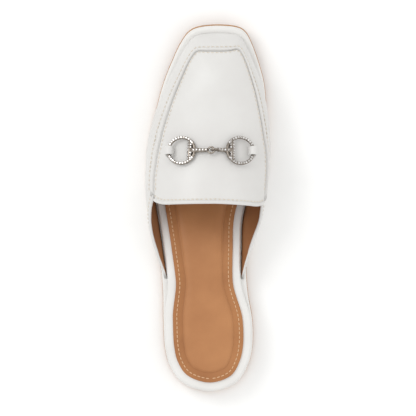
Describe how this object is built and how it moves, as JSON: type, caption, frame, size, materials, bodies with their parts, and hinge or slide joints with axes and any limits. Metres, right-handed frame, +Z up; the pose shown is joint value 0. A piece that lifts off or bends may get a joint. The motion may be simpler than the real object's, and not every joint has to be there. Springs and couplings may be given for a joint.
{
  "type": "mule shoe",
  "caption": "Backless loafer mule for the left foot: hollow leather vamp with raised moccasin seam, padded tan insole, low wedge sole and a jointed snaffle bit.",
  "frame": {"origin": "on the floor, under the middle of the shoe's bounding box", "axes": "+Y to the toe, +X to the big-toe side of this left shoe, +Z up"},
  "size_m": [0.0874, 0.2576, 0.069],
  "materials": {
    "rubber_sole": "matt tan rubber",
    "wrap_leather": "smooth white leather wrap",
    "sock_leather": "fine-grained tan leather",
    "upper_leather": "smooth off-white leather, satin",
    "bit_metal": "nickel-plated casting set with clear stones"
  },
  "bodies": {
    "shoe": {"outsole": "rubber_sole", "wedge": "wrap_leather", "footbed": "wrap_leather", "insole": "sock_leather", "upper": "upper_leather", "apron": "upper_leather", "keeper_lateral": "upper_leather", "keeper_medial": "upper_leather"},
    "ring_lateral": {"bit_lateral": "bit_metal"},
    "ring_medial": {"bit_medial": "bit_metal"}
  },
  "joints": [
    {"name": "lateral_turn", "type": "hinge", "parent": "shoe", "child": "ring_lateral", "pos_m": [-0.01821, 0.0395, 0.0615], "axis": [-0.2034, 0.2565, 0.9449], "range_deg": [-8, 8]},
    {"name": "medial_turn", "type": "hinge", "parent": "shoe", "child": "ring_medial", "pos_m": [0.02224, 0.03949, 0.06237], "axis": [0.1878, 0.2291, 0.9551], "range_deg": [-8, 8]}
  ],
  "couplings": [
    {"joint": "medial_turn", "follows": "lateral_turn", "ratio": -1}
  ]
}
